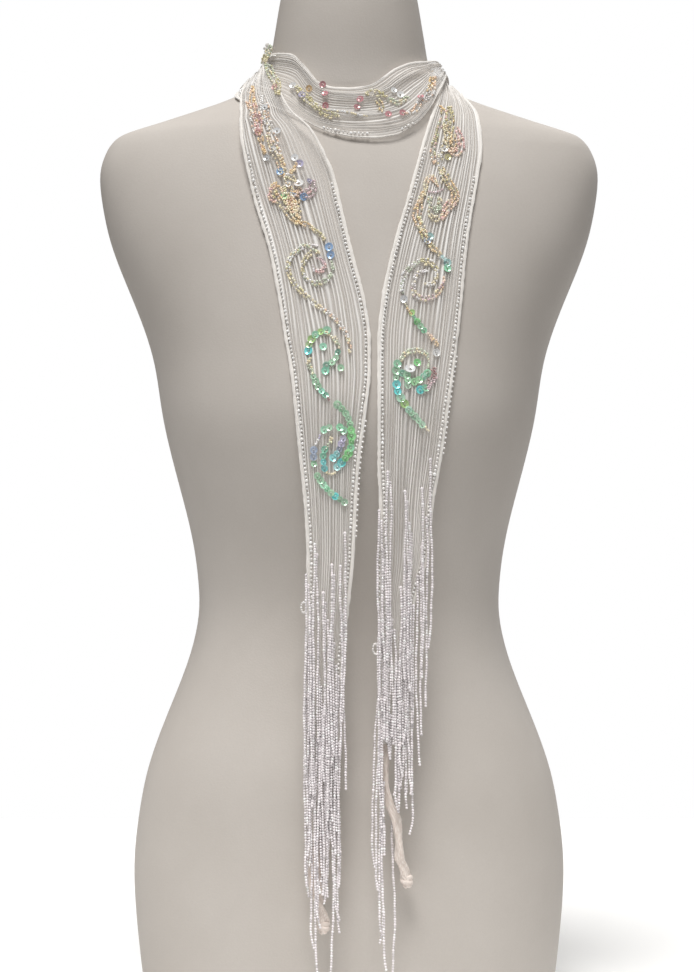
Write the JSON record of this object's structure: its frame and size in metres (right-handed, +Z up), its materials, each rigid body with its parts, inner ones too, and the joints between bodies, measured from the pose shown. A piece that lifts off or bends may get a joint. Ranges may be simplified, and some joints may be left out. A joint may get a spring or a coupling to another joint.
{
  "type": "skinny scarf on a dress form",
  "caption": "Crinkle-chiffon skinny scarf wound once round the neck of an armless dress form, both beaded, fringed ends hanging in front.",
  "frame": {"origin": "middle of the dress form's flat base", "axes": "+Z up, -Y the front of the form, +X the viewer's right as seen from the front"},
  "size_m": [0.392, 0.2554, 0.791],
  "materials": {
    "chiffon": "ivory crinkle chiffon with fine lengthwise pleats and a soft sheen",
    "twisted_chiffon": "the same chiffon, twisted and knotted, cream with a pink cast",
    "beads": "silver-lined clear seed beads on thread",
    "sequins": "iridescent cup sequins, green to peach",
    "form_shell": "matte off-white dress form"
  },
  "bodies": {
    "root": {"dress_form": "form_shell", "front_loop": "chiffon", "back_band_inner": "chiffon", "back_band_outer": "chiffon", "left_tail": "chiffon", "right_tail": "chiffon", "left_tip": "twisted_chiffon", "right_tip": "twisted_chiffon", "left_fringe_outer": "beads", "left_fringe_middle": "beads", "left_fringe_inner": "beads", "right_fringe_outer": "beads", "right_fringe_middle": "beads", "right_fringe_inner": "beads"}
  },
  "joints": []
}
